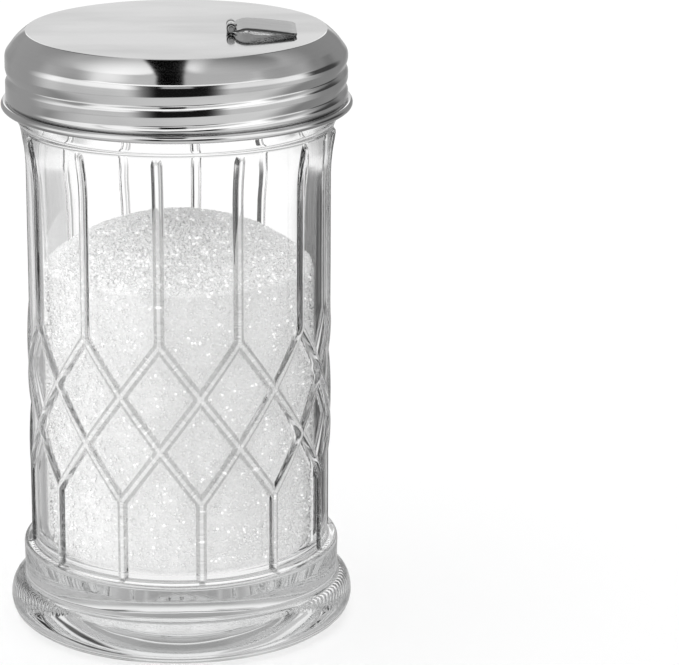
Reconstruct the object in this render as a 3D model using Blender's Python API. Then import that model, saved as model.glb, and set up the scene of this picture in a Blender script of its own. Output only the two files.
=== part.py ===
"""Glass sugar dispenser: a pressed jar, a screwed steel lid and a hinged pour flap.

The frame stands on the foot of the jar: the origin is the middle of the foot's underside,
+Z runs up the jar's axis, and the flap points along +X. Lengths are in metres.
"""
import itertools
import math

import bmesh
import bpy
from mathutils import Vector

FULL_TURN = 2 * math.pi
QUARTER_TURN = math.pi / 2
SHARP_EDGE_ANGLE = math.radians(35.0)
MERGE_SHARE = 0.001

# Clearances
RUNNING_GAP = 0.0003
CUT_OVERRUN = 0.0004

# Jar: its two main sizes. The other radii are steps from the body's, and the heights are steps from the rim's.
BODY_RADIUS = 0.0323
RIM_HEIGHT = 0.1291

# Jar: foot, ledge and base
FOOT_REACH = 0.00535
FOOT_WAIST_REACH = 0.0017
FOOT_HEIGHT = 0.0092
FOOT_STEPS = 8
BEARING_INSET = 0.0058
PUSH_UP_RISE = 0.0028
PUSH_UP_STEPS = 4
LEDGE_REACH = 0.0023
LEDGE_DEPTH = 0.0086
LEDGE_ROUNDING = 0.0011
LEDGE_STEPS = 3
FOOT_RADIUS = BODY_RADIUS + FOOT_REACH
FOOT_WAIST_RADIUS = BODY_RADIUS + FOOT_WAIST_REACH
BEARING_INNER_RADIUS = BODY_RADIUS - BEARING_INSET
LEDGE_RADIUS = BODY_RADIUS + LEDGE_REACH
LEDGE_HEIGHT = FOOT_HEIGHT + LEDGE_DEPTH

# Jar: body wall and bore
WALL_THICKNESS = 0.0026
FLOOR_DROP = 0.0011
FLOOR_FILLET = 0.0035
FLOOR_STEPS = 3
JAR_FACETS = 60
CAVITY_RADIUS = BODY_RADIUS - WALL_THICKNESS
FLOOR_HEIGHT = LEDGE_HEIGHT - FLOOR_DROP

# Jar: neck, finish and rim
FINISH_DEPTH = 0.0167
NECK_RISE = 0.0008
FLARE_DEPTH = 0.0041
BODY_TOP_DROP = 0.0070
FLARE_REACH = 0.0007
NECK_REACH = 0.0014
FINISH_REACH = 0.0019
FINISH_WALL = 0.0052
MOUTH_BOTTOM_DROP = 0.0004
RIM_OUTER_ROUNDING = 0.0019
RIM_INNER_ROUNDING = 0.0014
RIM_STEPS = 3
BORE_TAPER_HEIGHT = 0.0045
FLARE_RADIUS = BODY_RADIUS + FLARE_REACH
NECK_RADIUS = BODY_RADIUS + NECK_REACH
FINISH_RADIUS = BODY_RADIUS + FINISH_REACH
MOUTH_RADIUS = FINISH_RADIUS - FINISH_WALL
FINISH_BOTTOM_HEIGHT = RIM_HEIGHT - FINISH_DEPTH
MOUTH_BOTTOM_HEIGHT = FINISH_BOTTOM_HEIGHT - MOUTH_BOTTOM_DROP
NECK_HEIGHT = FINISH_BOTTOM_HEIGHT - NECK_RISE
FLARE_HEIGHT = NECK_HEIGHT - FLARE_DEPTH
BODY_TOP_HEIGHT = FLARE_HEIGHT - BODY_TOP_DROP
BODY_LENGTH = BODY_TOP_HEIGHT - LEDGE_HEIGHT

# Jar: the pressed ribs, in one repeat of twelve
RIB_COUNT = 12
RIB_PHASE = math.radians(-90.0 - 7.5)
RIB_WIDTH = 0.0022
RIB_REACH = 0.0007
RIB_ROOT_DEPTH = 0.0002
RIB_BURIED_DEPTH = 0.0010
RIB_SECTION_SHARES = ((-0.5, 0.0), (-0.3, 0.72), (0.0, 1.0), (0.3, 0.72), (0.5, 0.0))
FORK_SHARE = 0.6348
LATTICE_ROW_SHARE = 0.1403
LATTICE_ROWS = 3
DIAGONAL_STEPS = 6
RIB_CREST_RADIUS = BODY_RADIUS + RIB_REACH
RIB_PITCH = FULL_TURN / RIB_COUNT
FORK_HEIGHT = LEDGE_HEIGHT + BODY_LENGTH * FORK_SHARE
LATTICE_ROW_HEIGHT = BODY_LENGTH * LATTICE_ROW_SHARE
LATTICE_BOTTOM_HEIGHT = FORK_HEIGHT - LATTICE_ROWS * LATTICE_ROW_HEIGHT

# Screw thread, right-handed, shared by the jar and the lid
THREAD_LEAD = 0.0042
THREAD_START_DEPTH = 0.00945
GLASS_THREAD_REACH = 0.0014
GLASS_THREAD_WIDTH = 0.0020
GLASS_THREAD_FIRST_TURN = -0.55
GLASS_THREAD_LAST_TURN = 0.70
GLASS_THREAD_FADE_TURNS = 0.08
GLASS_THREAD_STEPS_PER_TURN = 24
THREAD_START_HEIGHT = RIM_HEIGHT - THREAD_START_DEPTH
GLASS_THREAD_RADIUS = FINISH_RADIUS + GLASS_THREAD_REACH

# Seal ring, between the rim and the lid's disc
SEAL_THICKNESS = 0.0010
SEAL_INNER_REACH = 0.0009
SEAL_OUTER_INSET = 0.0023
SEAL_FACETS = 48
SEAL_INNER_RADIUS = MOUTH_RADIUS - SEAL_INNER_REACH
SEAL_OUTER_RADIUS = FINISH_RADIUS - SEAL_OUTER_INSET

# Lid: a shell drawn from one sheet, which sits on the seal and clears the jar's thread
SHEET = 0.0004
LID_THREAD_CLEARANCE = 0.00045
LID_SHOULDER_REACH = 0.00485
LID_SHOULDER_DROP = 0.0049
LID_SHOULDER_SHARES = ((0.0, 0.0), (0.14, 0.05), (0.41, 0.23), (0.70, 0.49), (0.90, 0.75), (0.985, 1.0))
LID_SKIRT_DEPTH = 0.0092
LID_SKIRT_ROWS = 16
LID_FACETS = 54
LID_THREAD_DEPTH = 0.0006
LID_THREAD_WIDTH = 0.0027
LID_THREAD_FIRST_TURN = -0.42
LID_THREAD_LAST_TURN = 1.36
LID_THREAD_FADE_TURNS = 0.16
CURL_RADIUS = 0.0008
CURL_REACH = 0.00025
CURL_DROP = 0.0016
CURL_STEPS = 8
LID_TOP_HEIGHT = RIM_HEIGHT + 2 * RUNNING_GAP + SEAL_THICKNESS + SHEET
LID_SKIRT_RADIUS = GLASS_THREAD_RADIUS + LID_THREAD_CLEARANCE + SHEET
LID_DISC_RADIUS = LID_SKIRT_RADIUS - LID_SHOULDER_REACH
LID_SKIRT_TOP_HEIGHT = LID_TOP_HEIGHT - LID_SHOULDER_DROP
LID_SKIRT_BOTTOM_HEIGHT = LID_SKIRT_TOP_HEIGHT - LID_SKIRT_DEPTH
CURL_CENTRE_RADIUS = LID_SKIRT_RADIUS + CURL_REACH
CURL_CENTRE_HEIGHT = LID_SKIRT_BOTTOM_HEIGHT - CURL_DROP

# Hinge between lid and flap, its pin parallel to Y
HINGE_REACH_SHARE = 0.364
HINGE_OFFSET_SHARE = -0.130
PIN_RADIUS = 0.00045
PIN_HEAD_RADIUS = 0.00075
PIN_HEAD_LENGTH = 0.0003
PIN_GAP = 0.0001
PIN_FACETS = 16
KNUCKLE_LENGTH = 0.0024
BARREL_LENGTH = 0.0054
KNUCKLE_STEPS = 10
KNUCKLE_WRAP_TURNS = 0.58
WINDOW_LENGTH = 0.0034
HINGE_RADIUS_FROM_AXIS = LID_DISC_RADIUS * HINGE_REACH_SHARE
HINGE_OFFSET = LID_DISC_RADIUS * HINGE_OFFSET_SHARE
KNUCKLE_INNER_RADIUS = PIN_RADIUS + PIN_GAP
KNUCKLE_OUTER_RADIUS = KNUCKLE_INNER_RADIUS + SHEET
KNUCKLE_MID_RADIUS = KNUCKLE_INNER_RADIUS + SHEET / 2
HINGE_HEIGHT = LID_TOP_HEIGHT + RUNNING_GAP + KNUCKLE_OUTER_RADIUS

# Pour hole, and the flap over it: one pressed plate whose two ears are rolled round the pin
POUR_HOLE_RADIUS = 0.00385
POUR_HOLE_FACETS = 28
POUR_HOLE_SHARE = 0.54
FLAP_LENGTH_SHARE = 0.4335
FLAP_HINGE_WIDTH = 0.0112
FLAP_TIP_WIDTH = 0.0128
FLAP_SHEET = 0.0004
FLAP_HUMP_SHARE = 0.241
FLAP_HUMP_RISE = 0.0014
FLAP_CORNER = 0.0008
FLAP_ARCH_STEPS = 5
FLAP_SLOPE_STEPS = 6
EAR_WRAP_TURNS = 0.82
EAR_START_ANGLE = math.radians(-30.0)
EAR_STEPS = 12
FLAP_LENGTH = LID_DISC_RADIUS * FLAP_LENGTH_SHARE
FLAP_HUMP_REACH = FLAP_LENGTH * FLAP_HUMP_SHARE
HINGE_TO_POUR_HOLE = FLAP_LENGTH * POUR_HOLE_SHARE

# Contents: the sugar's height at the wall and in the middle, up the body
SUGAR_EDGE_SHARE = 0.7521
SUGAR_PEAK_SHARE = 0.8948
SUGAR_STEPS = 7
SUGAR_FACETS = 36
SUGAR_EDGE_HEIGHT = LEDGE_HEIGHT + BODY_LENGTH * SUGAR_EDGE_SHARE
SUGAR_PEAK_HEIGHT = LEDGE_HEIGHT + BODY_LENGTH * SUGAR_PEAK_SHARE


def clear_scene():
    for item in list(bpy.data.objects):
        bpy.data.objects.remove(item, do_unlink=True)


def finish(name, colour, roughness, metallic=0.0, transmission=0.0):
    """A plain surface of one colour for a sub-part."""
    material = bpy.data.materials.new(name)
    material.use_nodes = True
    surface = material.node_tree.nodes["Principled BSDF"]
    surface.inputs["Base Color"].default_value = (*colour, 1.0)
    surface.inputs["Roughness"].default_value = roughness
    surface.inputs["Metallic"].default_value = metallic
    surface.inputs["Transmission Weight"].default_value = transmission
    return material


def add_piece(name, shape, material, pivot=(0.0, 0.0, 0.0)):
    """Makes an object of a finished shape, with its origin on the pivot."""
    bmesh.ops.translate(shape, verts=shape.verts, vec=-Vector(pivot))
    mesh = bpy.data.meshes.new(name)
    shape.to_mesh(mesh)
    shape.free()
    piece = bpy.data.objects.new(name, mesh)
    piece.location = pivot
    piece.data.materials.append(material)
    bpy.context.scene.collection.objects.link(piece)
    mesh.shade_smooth()
    mesh.set_sharp_from_angle(angle=SHARP_EDGE_ANGLE)
    return piece


def add_cutter(name, shape):
    mesh = bpy.data.meshes.new(name)
    shape.to_mesh(mesh)
    shape.free()
    cutter = bpy.data.objects.new(name, mesh)
    cutter.hide_render = True
    cutter.display_type = "WIRE"
    bpy.context.scene.collection.objects.link(cutter)
    return cutter


def combine(piece, other, operation, crosses_itself=False):
    modifier = piece.modifiers.new(operation.lower(), "BOOLEAN")
    modifier.operation = operation
    modifier.solver = "EXACT"
    modifier.use_self = crosses_itself
    modifier.object = other


def arc(centre, radii, start, end, steps):
    """Points on an elliptical arc from one angle to another, both ends included."""
    points = []
    for step in range(steps + 1):
        angle = start + (end - start) * step / steps
        points.append((centre[0] + radii[0] * math.cos(angle), centre[1] + radii[1] * math.sin(angle)))
    return points


def turned(outline, facets):
    """Turns an outline of (radius, height) points, bottom to top on the outside, about Z."""
    shape = bmesh.new()
    verts = [shape.verts.new((radius, 0.0, height)) for radius, height in outline]
    edges = [shape.edges.new(pair) for pair in zip(verts, verts[1:])]
    if outline[0][0] > 0.0:
        edges.append(shape.edges.new((verts[-1], verts[0])))
    bmesh.ops.spin(
        shape, geom=verts + edges, cent=(0.0, 0.0, 0.0), axis=(0.0, 0.0, 1.0),
        angle=FULL_TURN, steps=facets, use_merge=True,
    )
    bmesh.ops.remove_doubles(shape, verts=shape.verts, dist=CUT_OVERRUN * MERGE_SHARE)
    bmesh.ops.recalc_face_normals(shape, faces=shape.faces)
    return shape


def close_rings(shape, rings):
    """Joins rings of vertices, each with the same count, into a tube with closed ends."""
    for lower, upper in zip(rings, rings[1:]):
        for index in range(len(lower)):
            following = (index + 1) % len(lower)
            shape.faces.new((lower[index], lower[following], upper[following], upper[index]))
    shape.faces.new(list(reversed(rings[0])))
    shape.faces.new(rings[-1])


def on_wall(along, height, radius):
    """A point of the unrolled wall: the length along the body's girth, and its height."""
    angle = along / BODY_RADIUS
    return Vector((radius * math.cos(angle), radius * math.sin(angle), height))


def ridge(shape, route, width, root_radius, crest_radius, fades):
    """A rounded ridge along a route of (angle, height) points on the wall.

    Its sides start just under the wall's surface, and its back lies inside the glass.
    """
    flat_route = [Vector((angle * BODY_RADIUS, height)) for angle, height in route]
    rings = []
    for index, place in enumerate(flat_route):
        before = flat_route[max(index - 1, 0)]
        after = flat_route[min(index + 1, len(flat_route) - 1)]
        heading = (after - before).normalized()
        side = Vector((heading.y, -heading.x))
        rise = (crest_radius - root_radius) * fades[index]
        ring = []
        for across_share, rise_share in RIB_SECTION_SHARES:
            spot = place + side * width * across_share
            radius = root_radius - RIB_ROOT_DEPTH + (rise + RIB_ROOT_DEPTH) * rise_share
            ring.append(shape.verts.new(on_wall(spot.x, spot.y, radius)))
        for across_share, _ in (RIB_SECTION_SHARES[-1], RIB_SECTION_SHARES[0]):
            spot = place + side * width * across_share
            ring.append(shape.verts.new(on_wall(spot.x, spot.y, root_radius - RIB_BURIED_DEPTH)))
        rings.append(ring)
    close_rings(shape, rings)


def straight_route(start, end, steps):
    return [
        (start[0] + (end[0] - start[0]) * step / steps, start[1] + (end[1] - start[1]) * step / steps)
        for step in range(steps + 1)
    ]


def jar_outline():
    """The jar's section, from the middle of its underside round to the middle of its floor."""
    underside = []
    for step in range(PUSH_UP_STEPS):
        share = step / PUSH_UP_STEPS
        underside.append((BEARING_INNER_RADIUS * share, PUSH_UP_RISE * (1.0 - share * share)))
    underside.append((BEARING_INNER_RADIUS, 0.0))
    foot = arc(
        (FOOT_WAIST_RADIUS, FOOT_HEIGHT / 2), (FOOT_RADIUS - FOOT_WAIST_RADIUS, FOOT_HEIGHT / 2),
        -QUARTER_TURN, QUARTER_TURN, FOOT_STEPS,
    )
    ledge_centre = (LEDGE_RADIUS - LEDGE_ROUNDING, LEDGE_HEIGHT - LEDGE_ROUNDING)
    ledge = [(LEDGE_RADIUS, FOOT_HEIGHT + LEDGE_ROUNDING)]
    ledge += arc(ledge_centre, (LEDGE_ROUNDING, LEDGE_ROUNDING), 0.0, QUARTER_TURN, LEDGE_STEPS)
    wall = [
        (BODY_RADIUS, LEDGE_HEIGHT + LEDGE_ROUNDING / 2),
        (BODY_RADIUS, BODY_TOP_HEIGHT),
        ((BODY_RADIUS + FLARE_RADIUS) / 2, (BODY_TOP_HEIGHT + FLARE_HEIGHT) / 2),
        (FLARE_RADIUS, FLARE_HEIGHT),
        (NECK_RADIUS, NECK_HEIGHT),
        (FINISH_RADIUS, FINISH_BOTTOM_HEIGHT),
    ]
    rim_outer_centre = (FINISH_RADIUS - RIM_OUTER_ROUNDING, RIM_HEIGHT - RIM_OUTER_ROUNDING)
    rim_inner_centre = (MOUTH_RADIUS + RIM_INNER_ROUNDING, RIM_HEIGHT - RIM_INNER_ROUNDING)
    rim = arc(rim_outer_centre, (RIM_OUTER_ROUNDING, RIM_OUTER_ROUNDING), 0.0, QUARTER_TURN, RIM_STEPS)
    rim += arc(
        rim_inner_centre, (RIM_INNER_ROUNDING, RIM_INNER_ROUNDING), QUARTER_TURN, math.pi, RIM_STEPS,
    )
    floor_centre = (CAVITY_RADIUS - FLOOR_FILLET, FLOOR_HEIGHT + FLOOR_FILLET)
    bore = [
        (MOUTH_RADIUS, MOUTH_BOTTOM_HEIGHT),
        (CAVITY_RADIUS, MOUTH_BOTTOM_HEIGHT - BORE_TAPER_HEIGHT),
    ]
    bore += arc(floor_centre, (FLOOR_FILLET, FLOOR_FILLET), 0.0, -QUARTER_TURN, FLOOR_STEPS)
    bore.append((0.0, FLOOR_HEIGHT))
    return underside + foot + ledge + wall + rim + bore


def thread_height(turns):
    """The height of the thread's valley in the lid, after so many turns from +X."""
    return THREAD_START_HEIGHT + THREAD_LEAD * turns


def fade_in(turns, first, last, fade):
    """Nought outside the stretch from first to last, and one inside past its tapered ends."""
    share = min((turns - first) / fade, (last - turns) / fade, 1.0)
    return math.sin(QUARTER_TURN * max(share, 0.0)) ** 2


def make_ribs():
    """The ribs: twelve down from the neck, forking into a lattice, and twelve down to the ledge."""
    shape = bmesh.new()
    overlap = RIB_WIDTH / 2
    for index in range(RIB_COUNT):
        upper = RIB_PHASE + RIB_PITCH * index
        lower = upper + RIB_PITCH / 2
        verticals = (
            (upper, FORK_HEIGHT - overlap, FLARE_HEIGHT),
            (lower, LEDGE_HEIGHT - overlap, LATTICE_BOTTOM_HEIGHT + overlap),
        )
        for angle, bottom, top in verticals:
            route = straight_route((angle, bottom), (angle, top), 1)
            ridge(shape, route, RIB_WIDTH, BODY_RADIUS, RIB_CREST_RADIUS, [1.0, 1.0])
        span = RIB_PITCH * LATTICE_ROWS / 2
        for direction in (-1, 1):
            route = straight_route(
                (upper, FORK_HEIGHT), (upper + direction * span, LATTICE_BOTTOM_HEIGHT), DIAGONAL_STEPS,
            )
            fades = [1.0] * len(route)
            ridge(shape, route, RIB_WIDTH, BODY_RADIUS, RIB_CREST_RADIUS, fades)
    bmesh.ops.recalc_face_normals(shape, faces=shape.faces)
    return shape


def make_glass_thread():
    """The thread on the jar's finish, midway between the valleys of the lid's thread."""
    shape = bmesh.new()
    turns = GLASS_THREAD_LAST_TURN - GLASS_THREAD_FIRST_TURN
    steps = round(turns * GLASS_THREAD_STEPS_PER_TURN)
    route = []
    fades = []
    for step in range(steps + 1):
        turn = GLASS_THREAD_FIRST_TURN + turns * step / steps
        route.append((turn * FULL_TURN, thread_height(turn) + THREAD_LEAD / 2))
        fades.append(
            fade_in(turn, GLASS_THREAD_FIRST_TURN, GLASS_THREAD_LAST_TURN, GLASS_THREAD_FADE_TURNS)
        )
    ridge(shape, route, GLASS_THREAD_WIDTH, FINISH_RADIUS, GLASS_THREAD_RADIUS, fades)
    bmesh.ops.recalc_face_normals(shape, faces=shape.faces)
    return shape


def make_jar(material):
    jar = add_piece("glass_jar", turned(jar_outline(), JAR_FACETS), material)
    combine(jar, add_cutter("pressed_ribs", make_ribs()), "UNION", crosses_itself=True)
    combine(jar, add_cutter("glass_thread", make_glass_thread()), "UNION")


def lid_thread(angle, height):
    """How far the rolled valley is pressed in at this place of the skirt."""
    turn = angle / FULL_TURN
    depth = 0.0
    for whole_turn in range(math.floor(LID_THREAD_FIRST_TURN), math.ceil(LID_THREAD_LAST_TURN) + 1):
        place = turn + whole_turn
        away = abs(height - thread_height(place)) / (LID_THREAD_WIDTH / 2)
        if away < 1.0:
            share = fade_in(place, LID_THREAD_FIRST_TURN, LID_THREAD_LAST_TURN, LID_THREAD_FADE_TURNS)
            depth = max(depth, LID_THREAD_DEPTH * share * (1.0 + math.cos(math.pi * away)) / 2)
    return depth


def lid_outline():
    """The outside of the lid's section, from the edge of its disc down to the foot of its skirt."""
    drop = LID_TOP_HEIGHT - LID_SKIRT_TOP_HEIGHT
    reach = LID_SKIRT_RADIUS - LID_DISC_RADIUS
    outline = [
        (LID_DISC_RADIUS + reach * reach_share, LID_TOP_HEIGHT - drop * drop_share)
        for reach_share, drop_share in LID_SHOULDER_SHARES
    ]
    skirt = LID_SKIRT_TOP_HEIGHT - LID_SKIRT_BOTTOM_HEIGHT
    for row in range(1, LID_SKIRT_ROWS + 1):
        outline.append((LID_SKIRT_RADIUS, LID_SKIRT_TOP_HEIGHT - skirt * row / LID_SKIRT_ROWS))
    return outline


def inner_outline(outline):
    """The same section one sheet thickness further in."""
    points = [Vector(point) for point in outline]
    inside = []
    for index, point in enumerate(points):
        before = points[max(index - 1, 0)]
        after = points[min(index + 1, len(points) - 1)]
        heading = (after - before).normalized()
        inward = Vector((heading.y, -heading.x))
        if index == 0:
            inward = Vector((0.0, -1.0))
        inside.append(tuple(point + inward * SHEET))
    return inside


def make_lid_shell():
    shape = bmesh.new()
    outer = lid_outline()
    curl = arc(
        (CURL_CENTRE_RADIUS, CURL_CENTRE_HEIGHT), (CURL_RADIUS, CURL_RADIUS),
        math.radians(125.0), -math.pi, CURL_STEPS,
    )
    inner = list(reversed(inner_outline(outer)))
    section = outer + curl + inner
    rings = []
    for radius, height in section:
        ring = []
        for facet in range(LID_FACETS):
            angle = FULL_TURN * facet / LID_FACETS
            place = radius - lid_thread(angle, height)
            ring.append(shape.verts.new((place * math.cos(angle), place * math.sin(angle), height)))
        rings.append(ring)
    close_rings(shape, rings)
    bmesh.ops.recalc_face_normals(shape, faces=shape.faces)
    return shape


def upright_cylinder(centre, radius, bottom, top, facets):
    shape = bmesh.new()
    bmesh.ops.create_cone(
        shape, cap_ends=True, segments=facets, radius1=radius, radius2=radius, depth=top - bottom,
    )
    bmesh.ops.translate(shape, verts=shape.verts, vec=(centre[0], centre[1], (top + bottom) / 2))
    return shape


def block(low, high):
    """A box with its sides along the axes, from its lowest corner to its highest."""
    shape = bmesh.new()
    for corner in itertools.product(*zip(low, high)):
        shape.verts.new(corner)
    bmesh.ops.convex_hull(shape, input=shape.verts)
    return shape


def ribbon(path, half_widths, middle, thickness):
    """A bent sheet: a path of (x, z) points along its middle, and its half width at each."""
    shape = bmesh.new()
    points = [Vector(point) for point in path]
    rings = []
    for index, point in enumerate(points):
        before = points[max(index - 1, 0)]
        after = points[min(index + 1, len(points) - 1)]
        heading = (after - before).normalized()
        across = Vector((-heading.y, heading.x)) * thickness / 2
        ring = []
        for side, face in ((-1, -1), (1, -1), (1, 1), (-1, 1)):
            spot = point + across * face
            ring.append(shape.verts.new((spot.x, middle + side * half_widths[index], spot.y)))
        rings.append(ring)
    close_rings(shape, rings)
    bmesh.ops.recalc_face_normals(shape, faces=shape.faces)
    return shape


def knuckle_path():
    """The tongue of the lid: up from the sheet, then rolled over the pin towards the flap."""
    rising_x = HINGE_RADIUS_FROM_AXIS - KNUCKLE_MID_RADIUS
    path = [(rising_x, LID_TOP_HEIGHT - SHEET / 2), (rising_x, LID_TOP_HEIGHT + RUNNING_GAP)]
    path += arc(
        (HINGE_RADIUS_FROM_AXIS, HINGE_HEIGHT), (KNUCKLE_MID_RADIUS, KNUCKLE_MID_RADIUS),
        math.pi, math.pi - KNUCKLE_WRAP_TURNS * FULL_TURN, KNUCKLE_STEPS,
    )
    return path


def make_lid(material):
    lid = add_piece("lid_shell", make_lid_shell(), material)
    path = knuckle_path()
    knuckle = ribbon(path, [KNUCKLE_LENGTH / 2] * len(path), HINGE_OFFSET, SHEET)
    combine(lid, add_cutter("rolled_knuckle", knuckle), "UNION")
    below = LID_TOP_HEIGHT - SHEET - CUT_OVERRUN
    above = LID_TOP_HEIGHT + CUT_OVERRUN
    hole_centre = (HINGE_RADIUS_FROM_AXIS + HINGE_TO_POUR_HOLE, HINGE_OFFSET)
    hole = upright_cylinder(hole_centre, POUR_HOLE_RADIUS, below, above, POUR_HOLE_FACETS)
    combine(lid, add_cutter("pour_hole", hole), "DIFFERENCE")
    window_start = HINGE_RADIUS_FROM_AXIS - KNUCKLE_MID_RADIUS + SHEET / 2
    half = KNUCKLE_LENGTH / 2
    window = block(
        (window_start, HINGE_OFFSET - half, below),
        (window_start + WINDOW_LENGTH, HINGE_OFFSET + half, LID_TOP_HEIGHT + RUNNING_GAP / 2),
    )
    combine(lid, add_cutter("tongue_window", window), "DIFFERENCE")


def make_pin(material):
    """The hinge pin: a short wire with both ends peened over outside the flap's ears."""
    half = BARREL_LENGTH / 2 + RUNNING_GAP
    outline = [
        (0.0, -half - PIN_HEAD_LENGTH),
        (PIN_HEAD_RADIUS, -half - PIN_HEAD_LENGTH),
        (PIN_HEAD_RADIUS, -half),
        (PIN_RADIUS, -half),
        (PIN_RADIUS, half),
        (PIN_HEAD_RADIUS, half),
        (PIN_HEAD_RADIUS, half + PIN_HEAD_LENGTH),
        (0.0, half + PIN_HEAD_LENGTH),
    ]
    pin = add_piece("hinge_pin", turned(outline, PIN_FACETS), material)
    pin.rotation_euler = (QUARTER_TURN, 0.0, 0.0)
    pin.location = (HINGE_RADIUS_FROM_AXIS, HINGE_OFFSET, HINGE_HEIGHT)


def flap_path():
    """The flap's section: its rolled ear, the dip beside it, the hump and the slope to its tip."""
    centre = (HINGE_RADIUS_FROM_AXIS, HINGE_HEIGHT)
    rolled = arc(
        centre, (KNUCKLE_MID_RADIUS, KNUCKLE_MID_RADIUS),
        EAR_START_ANGLE - EAR_WRAP_TURNS * FULL_TURN, EAR_START_ANGLE, EAR_STEPS,
    )
    dip = rolled[-1]
    hump_x = HINGE_RADIUS_FROM_AXIS + FLAP_HUMP_REACH
    hump_z = LID_TOP_HEIGHT + FLAP_HUMP_RISE + FLAP_SHEET / 2
    tip_x = HINGE_RADIUS_FROM_AXIS + FLAP_LENGTH
    tip_z = LID_TOP_HEIGHT + RUNNING_GAP + FLAP_SHEET / 2
    rise = []
    for step in range(1, FLAP_ARCH_STEPS + 1):
        share = step / FLAP_ARCH_STEPS
        lift = math.sin(QUARTER_TURN * share)
        rise.append((dip[0] + (hump_x - dip[0]) * share, dip[1] + (hump_z - dip[1]) * lift))
    slope = []
    for step in range(1, FLAP_SLOPE_STEPS + 1):
        share = step / FLAP_SLOPE_STEPS
        fall = (1.0 - math.cos(QUARTER_TURN * share) + share) / 2
        slope.append((hump_x + (tip_x - hump_x) * share, hump_z + (tip_z - hump_z) * fall))
    corner = (slope[-1][0] - FLAP_CORNER, slope[-1][1] + (hump_z - tip_z) * FLAP_CORNER / FLAP_LENGTH)
    return rolled + rise + slope[:-1] + [corner, slope[-1]]


def make_flap(material):
    path = flap_path()
    half_widths = []
    for reach, _ in path:
        share = max(reach - HINGE_RADIUS_FROM_AXIS, 0.0) / FLAP_LENGTH
        width = FLAP_HINGE_WIDTH + (FLAP_TIP_WIDTH - FLAP_HINGE_WIDTH) * share
        if reach < HINGE_RADIUS_FROM_AXIS + KNUCKLE_OUTER_RADIUS:
            width = BARREL_LENGTH
        half_widths.append(width / 2)
    half_widths[-1] -= FLAP_CORNER
    pivot = (HINGE_RADIUS_FROM_AXIS, HINGE_OFFSET, HINGE_HEIGHT)
    shape = ribbon(path, half_widths, HINGE_OFFSET, FLAP_SHEET)
    flap = add_piece("pour_flap", shape, material, pivot)
    reach = KNUCKLE_OUTER_RADIUS + RUNNING_GAP
    half = KNUCKLE_LENGTH / 2 + RUNNING_GAP
    notch = block(
        (HINGE_RADIUS_FROM_AXIS - reach, HINGE_OFFSET - half, HINGE_HEIGHT - reach),
        (HINGE_RADIUS_FROM_AXIS + reach, HINGE_OFFSET + half, HINGE_HEIGHT + reach),
    )
    combine(flap, add_cutter("knuckle_notch", notch), "DIFFERENCE")


def make_seal(material):
    bottom = RIM_HEIGHT + RUNNING_GAP
    outline = [
        (SEAL_INNER_RADIUS, bottom),
        (SEAL_OUTER_RADIUS, bottom),
        (SEAL_OUTER_RADIUS, bottom + SEAL_THICKNESS),
        (SEAL_INNER_RADIUS, bottom + SEAL_THICKNESS),
    ]
    add_piece("lid_seal", turned(outline, SEAL_FACETS), material)


def make_sugar(material):
    """The sugar: it fills the jar and heaps up in the middle."""
    radius = CAVITY_RADIUS - RUNNING_GAP
    fillet_centre = (CAVITY_RADIUS - FLOOR_FILLET, FLOOR_HEIGHT + FLOOR_FILLET)
    fillet = FLOOR_FILLET - RUNNING_GAP
    outline = [(0.0, FLOOR_HEIGHT + RUNNING_GAP)]
    outline += arc(fillet_centre, (fillet, fillet), -QUARTER_TURN, 0.0, FLOOR_STEPS)
    for step in range(SUGAR_STEPS, -1, -1):
        share = step / SUGAR_STEPS
        heap = SUGAR_PEAK_HEIGHT - (SUGAR_PEAK_HEIGHT - SUGAR_EDGE_HEIGHT) * share * share
        outline.append((radius * share, heap))
    add_piece("sugar_fill", turned(outline, SUGAR_FACETS), material)


clear_scene()
glass = finish("clear_glass", (0.92, 0.94, 0.94), 0.03, transmission=1.0)
steel = finish("bright_steel", (0.62, 0.62, 0.61), 0.16, metallic=1.0)
wire_steel = finish("pin_steel", (0.55, 0.55, 0.54), 0.22, metallic=1.0)
flap_steel = finish("flap_steel", (0.60, 0.60, 0.59), 0.2, metallic=1.0)
silicone = finish("clear_silicone", (0.86, 0.87, 0.86), 0.45)
sugar = finish("white_sugar", (0.93, 0.93, 0.92), 0.6)

make_jar(glass)
make_sugar(sugar)
make_seal(silicone)
make_lid(steel)
make_pin(wire_steel)
make_flap(flap_steel)
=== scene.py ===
import math

import bmesh
import bpy
import numpy as np
from mathutils import Matrix, Vector


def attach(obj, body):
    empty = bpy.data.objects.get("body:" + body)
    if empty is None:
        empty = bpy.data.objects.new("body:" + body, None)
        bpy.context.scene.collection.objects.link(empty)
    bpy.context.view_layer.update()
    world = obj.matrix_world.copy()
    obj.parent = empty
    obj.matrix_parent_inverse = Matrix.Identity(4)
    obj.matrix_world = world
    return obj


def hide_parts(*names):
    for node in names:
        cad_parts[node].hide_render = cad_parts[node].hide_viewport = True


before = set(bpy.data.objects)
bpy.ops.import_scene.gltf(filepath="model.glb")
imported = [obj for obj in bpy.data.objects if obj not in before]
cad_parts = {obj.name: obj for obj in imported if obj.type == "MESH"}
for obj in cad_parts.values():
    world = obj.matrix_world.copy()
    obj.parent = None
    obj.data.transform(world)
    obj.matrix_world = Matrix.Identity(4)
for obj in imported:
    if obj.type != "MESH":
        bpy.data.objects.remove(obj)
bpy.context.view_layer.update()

# The studio: a long lens a little above the lid, and plain soft light from all round, stronger from the left.
# Glass and steel show a white sweep behind, grey sides and a dark front, which give them their edges.
scene = bpy.context.scene
scene.view_settings.view_transform = "Standard"
scene.cycles.max_bounces = 28
scene.cycles.transmission_bounces = 24
scene.cycles.glossy_bounces = 12
scene.cycles.diffuse_bounces = 6
scene.cycles.sample_clamp_indirect = 6.0
scene.cycles.blur_glossy = 0.0

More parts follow.
